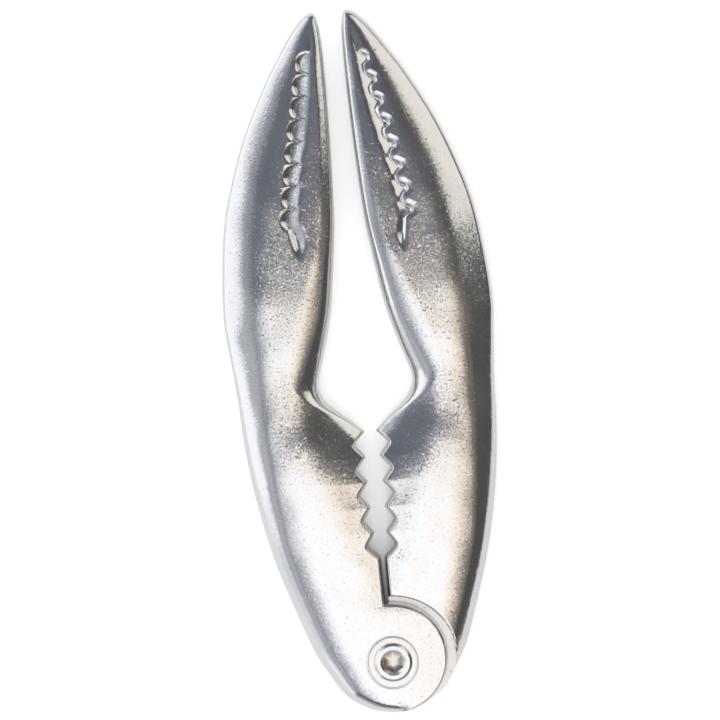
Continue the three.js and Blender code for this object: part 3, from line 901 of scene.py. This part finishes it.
def cast_aluminium():
    """Tumbled and polished casting: grain, small pits, patches of scratches, and a dull seam."""
    s = Shader("polished_cast_aluminium", Metallic=1.0)
    split = s.node("ShaderNodeSeparateXYZ", Vector=s.place)
    cloudy = s.noise(14, 2)
    patches = s.ramp(s.noise(9, 3), 0.46, 0.66)
    pits = s.ramp(s.noise(0.7, 2), 0.66, 0.76)
    scratch_field = s.noise(0.12, 2, 0.5, s.stretched(62, 14, 0.12))
    scratches = s.math("MULTIPLY", s.ramp(scratch_field, 0.67, 0.74), patches)
    from_middle = s.math("ABSOLUTE", s.math("SUBTRACT", split.outputs["Z"], MIDDLE * MM))
    seam = s.ramp(from_middle, 0.2 * MM, 0.6 * MM, 1, 0)
    tone = s.colours(cloudy, (0.80, 0.805, 0.81), (0.88, 0.87, 0.85))
    tone = s.colours(s.math("MULTIPLY", pits, 0.45), tone, (0.35, 0.34, 0.33), "MULTIPLY")
    s.feed(s.surface.inputs["Base Color"], tone)
    rough = s.ramp(cloudy, 0.3, 0.7, 0.15, 0.19)
    rough = s.math("ADD", rough, s.math("MULTIPLY", pits, 0.15))
    rough = s.math("ADD", rough, s.math("MULTIPLY", scratches, 0.2))
    rough = s.math("ADD", rough, s.math("MULTIPLY", seam, 0.12))
    s.feed(s.surface.inputs["Roughness"], rough)
    normal = s.bump(s.noise(3.0, 2), 0.012)
    dents = s.ramp(s.noise(0.7, 1), 0.5, 0.66, 0.08, 0.3)
    normal = s.grained(0.5, dents, normal)
    normal = s.bump(s.math("MULTIPLY", pits, -1), 0.008, normal)
    normal = s.bump(s.math("MULTIPLY", scratches, -1), 0.004, normal)
    s.feed(s.surface.inputs["Normal"], normal)
    return s.material


def turned_steel():
    """Bright steel with turning rings about the pivot axis. Inside the socket it is a little darker
    and browner, a painted shade in the recess.
    """
    s = Shader("turned_bright_steel", Metallic=1.0)
    split = s.node("ShaderNodeSeparateXYZ", Vector=s.place)
    flat = s.node("ShaderNodeCombineXYZ", X=split.outputs["X"], Y=split.outputs["Y"], Z=0.0)
    radius = s.node("ShaderNodeVectorMath", {"operation": "LENGTH"})
    s.feed(radius.inputs[0], flat.outputs[0])
    radius = radius.outputs["Value"]
    turned = s.node("ShaderNodeCombineXYZ", X=radius, Y=0.0, Z=split.outputs["Z"])
    rings = s.noise(0.12, 3, 0.7, turned.outputs[0])
    stain = s.noise(1.2, 3)
    mouth = SOCKET_MOUTH_RADIUS * MM
    # Painted shade: inside the socket's mouth the colour is made darker and browner.
    socket = s.ramp(radius, mouth * 0.97, mouth, 1, 0)
    tone = s.colours(stain, (0.80, 0.79, 0.77), (0.87, 0.86, 0.85))
    tone = s.colours(s.math("MULTIPLY", socket, 0.3), tone, (0.78, 0.66, 0.55), "MULTIPLY")
    s.feed(s.surface.inputs["Base Color"], tone)
    s.feed(s.surface.inputs["Roughness"], s.ramp(stain, 0.3, 0.7, 0.16, 0.26))
    normal = s.bump(rings, 0.004)
    normal = s.bump(s.noise(0.3, 2), 0.004, normal)
    s.feed(s.surface.inputs["Normal"], normal)
    return s.material


def moulded_nylon():
    s = Shader("moulded_nylon", Roughness=0.5)
    s.surface.inputs["Subsurface Weight"].default_value = 0.1
    s.surface.inputs["Subsurface Radius"].default_value = (0.002, 0.0018, 0.0015)
    mottle = s.noise(2.5, 3)
    tone = s.colours(mottle, (0.80, 0.78, 0.71), (0.87, 0.86, 0.81))
    s.feed(s.surface.inputs["Base Color"], tone)
    s.feed(s.surface.inputs["Roughness"], s.ramp(mottle, 0.3, 0.7, 0.42, 0.58))
    s.feed(s.surface.inputs["Normal"], s.bump(s.noise(0.2, 3), 0.006))
    return s.material


def pale_floor():
    """Nearly white. Seen by the camera it glows a little, except close under the object, where the
    missing glow is a painted shadow.
    """
    s = Shader("pale_floor", Roughness=0.9)
    s.surface.inputs["Specular IOR Level"].default_value = 0.1
    mottle = s.noise(60, 2)
    tone = s.colours(mottle, (0.88, 0.88, 0.88), (0.90, 0.90, 0.90))
    s.feed(s.surface.inputs["Base Color"], tone)
    s.surface.inputs["Emission Color"].default_value = (1, 1, 1, 1)
    # Painted shadow: the glow fades where ambient occlusion is strong, under the arms and in the
    # narrow gaps between them.
    painted_shadow_occlusion = s.node("ShaderNodeAmbientOcclusion", {"samples": 8}, Distance=0.03).outputs["AO"]
    seen = s.node("ShaderNodeLightPath").outputs["Is Camera Ray"]
    camera_glow_with_painted_shadow = s.math("MULTIPLY", seen, s.ramp(painted_shadow_occlusion, 0.02, 0.22, 0, 0.4))
    s.feed(s.surface.inputs["Emission Strength"], camera_glow_with_painted_shadow)
    return s.material


# ---------------------------------------------------------------- pieces on their bodies

CAST = cast_aluminium()
STEEL = turned_steel()
NYLON = moulded_nylon()
PIECES = [
    (left_arm, "left_arm", "left_half", CAST, "cast_aluminium"),
    (right_arm, "right_arm", "right_half", CAST, "cast_aluminium"),
    (pivot_screw, "pivot_screw", "left_half", STEEL, "bright_steel"),
    (nut, "barrel_nut", "left_half", STEEL, "bright_steel"),
    (front_washer, "front_washer", "left_half", STEEL, "bright_steel"),
    (back_washer, "back_washer", "left_half", STEEL, "bright_steel"),
    (spacer, "spacer_washer", "left_half", NYLON, "nylon"),
]
for made, node, body, material, slot in PIECES:
    made.data.materials.clear()
    made.data.materials.append(material)
    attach(made, body)
    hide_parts(node)

# ---------------------------------------------------------------- floor, light and camera


FLOOR_HALF = 2.5


def make_floor():
    corners = [(x * FLOOR_HALF, y * FLOOR_HALF, 0) for x, y in ((-1, -1), (1, -1), (1, 1), (-1, 1))]
    mesh = bpy.data.meshes.new("floor")
    mesh.from_pydata(corners, [], [(0, 1, 2, 3)])
    mesh.materials.append(pale_floor())
    made = bpy.data.objects.new("floor", mesh)
    bpy.context.scene.collection.objects.link(made)


def softbox(name, place, size, brightness, aim, colour=(1, 1, 1), seen_in_gloss=True):
    """A flat rectangular light that faces its aim. Brightness is that of its own face."""
    light = bpy.data.lights.new(name, "AREA")
    light.shape = "RECTANGLE"
    light.size, light.size_y = size
    light.energy = brightness * math.pi * size[0] * size[1]
    light.color = colour
    made = bpy.data.objects.new(name, light)
    made.location = place
    made.rotation_euler = (Vector(aim) - Vector(place)).to_track_quat("-Z", "Y").to_euler()
    made.visible_camera = False
    made.visible_glossy = seen_in_gloss
    bpy.context.scene.collection.objects.link(made)
    return made


def graded(light):
    """The light's nodes, and the coordinates of the place on it that shines."""
    nodes = Nodes(light.data)
    place = nodes.node("ShaderNodeNewGeometry").outputs["Position"]
    return nodes, nodes.node("ShaderNodeSeparateXYZ", Vector=place).outputs


def shine(nodes, brightness, colour):
    """Sets the brightness and the colour that the light's face has from place to place."""
    emission = nodes.tree.nodes["Emission"]
    nodes.feed(emission.inputs["Strength"], brightness)
    nodes.feed(emission.inputs["Color"], colour)


def make_overhead():
    """A wide level light that fades to both sides. It is warm on the right and at its end."""
    light = softbox("overhead", (-0.2, -0.36, 1.0), (1.7, 1.08), 1.0, (-0.2, -0.36, 0))
    nodes, (x, y, _) = graded(light)
    left = nodes.ramp(x, -0.48, -0.08)
    right = nodes.ramp(x, 0.47, 0.14)
    end = nodes.ramp(y, 0.175, 0.12)
    lit = nodes.math("MULTIPLY", nodes.math("MULTIPLY", left, right), end)
    dim = nodes.ramp(x, -0.2, 0.3, 0.17, 0.09)
    brightness = nodes.math("ADD", dim, nodes.math("MULTIPLY", lit, 0.95))
    side_warmth = nodes.ramp(x, -0.05, 0.26)
    end_warmth = nodes.math("MULTIPLY", nodes.ramp(y, 0.08, 0.14), nodes.ramp(x, -0.25, -0.05))
    warmth = nodes.math("ADD", side_warmth, end_warmth, clamp=True)
    colour = nodes.colours(warmth, (0.985, 0.99, 1.0), (1.0, 0.84, 0.67))
    shine(nodes, brightness, colour)


def make_left_panel():
    """An upright light that fades upwards. It stands higher at the claws' end."""
    light = softbox("left_panel", (-0.62, 0.25, 0.55), (1.9, 1.1), 1.0, (0, 0.25, 0.55))
    nodes, (_, y, z) = graded(light)
    raised = nodes.math("SUBTRACT", z, nodes.ramp(y, 0.08, 0.18, 0, 0.2))
    top = nodes.ramp(raised, 0.59, 0.34)
    near = nodes.ramp(y, -0.14, -0.05, 0.5, 1)
    far = nodes.ramp(y, 0.4, 0.9, 1, 0.6)
    lit = nodes.math("MULTIPLY", nodes.math("MULTIPLY", near, far), top)
    brightness = nodes.math("ADD", 0.17, nodes.math("MULTIPLY", lit, 0.83))
    shine(nodes, brightness, (0.965, 0.975, 1.0, 1))


def make_lights():
    make_overhead()
    make_left_panel()
    warm = (1.0, 0.965, 0.90)
    softbox("right_warm", (0.58, 0.60, 0.52), (0.74, 0.46), 0.85, (0, 0.6, 0), warm)
    softbox("fill", (0, 0.08, 1.4), (2.4, 2.4), 1.0, (0, 0.08, 0), seen_in_gloss=False)


def make_world():
    """Dim surroundings, bluer on the left, with a pale haze low down at the object's ends.

    The camera itself sees a pale backdrop instead.
    """
    world = bpy.data.worlds.new("studio")
    nodes = Nodes(world)
    way = nodes.node("ShaderNodeTexCoord").outputs["Generated"]
    side, along, up = nodes.node("ShaderNodeSeparateXYZ", Vector=way).outputs
    tone = nodes.colours(nodes.ramp(side, -0.05, 0.4), (0.135, 0.15, 0.185), (0.084, 0.081, 0.082))
    ends = nodes.ramp(nodes.math("ABSOLUTE", along), 0.35, 0.6)
    haze = nodes.math("MULTIPLY", ends, nodes.ramp(up, 0.45, 0.12))
    tone = nodes.colours(haze, tone, (0.50, 0.51, 0.53))
    dim = nodes.tree.nodes["Background"]
    nodes.feed(dim.inputs["Color"], tone)
    behind = nodes.node("ShaderNodeBackground", Color=(0.93, 0.935, 0.94, 1))
    seen = nodes.node("ShaderNodeLightPath").outputs["Is Camera Ray"]
    mix = nodes.node("ShaderNodeMixShader", Fac=seen)
    nodes.feed(mix.inputs[1], dim.outputs[0])
    nodes.feed(mix.inputs[2], behind.outputs[0])
    nodes.feed(nodes.tree.nodes["World Output"].inputs["Surface"], mix.outputs[0])
    bpy.context.scene.world = world


CAMERA_HEIGHT = 0.70
VIEW_WIDTH = 0.1895                           # seen at the parting line's height
VIEW_CENTRE = (-0.00084, 0.0794)
VIEW_TURN = -5.67                             # degrees


def make_camera():
    data = bpy.data.cameras.new("camera")
    data.sensor_width = 36
    data.lens = data.sensor_width * (CAMERA_HEIGHT - MIDDLE * MM) / VIEW_WIDTH
    made = bpy.data.objects.new("camera", data)
    made.location = (*VIEW_CENTRE, CAMERA_HEIGHT)
    made.rotation_euler = Euler((0, 0, math.radians(VIEW_TURN)))
    bpy.context.scene.collection.objects.link(made)
    bpy.context.scene.camera = made


make_floor()
make_lights()
make_world()
make_camera()
bpy.context.scene.view_settings.view_transform = "Standard"
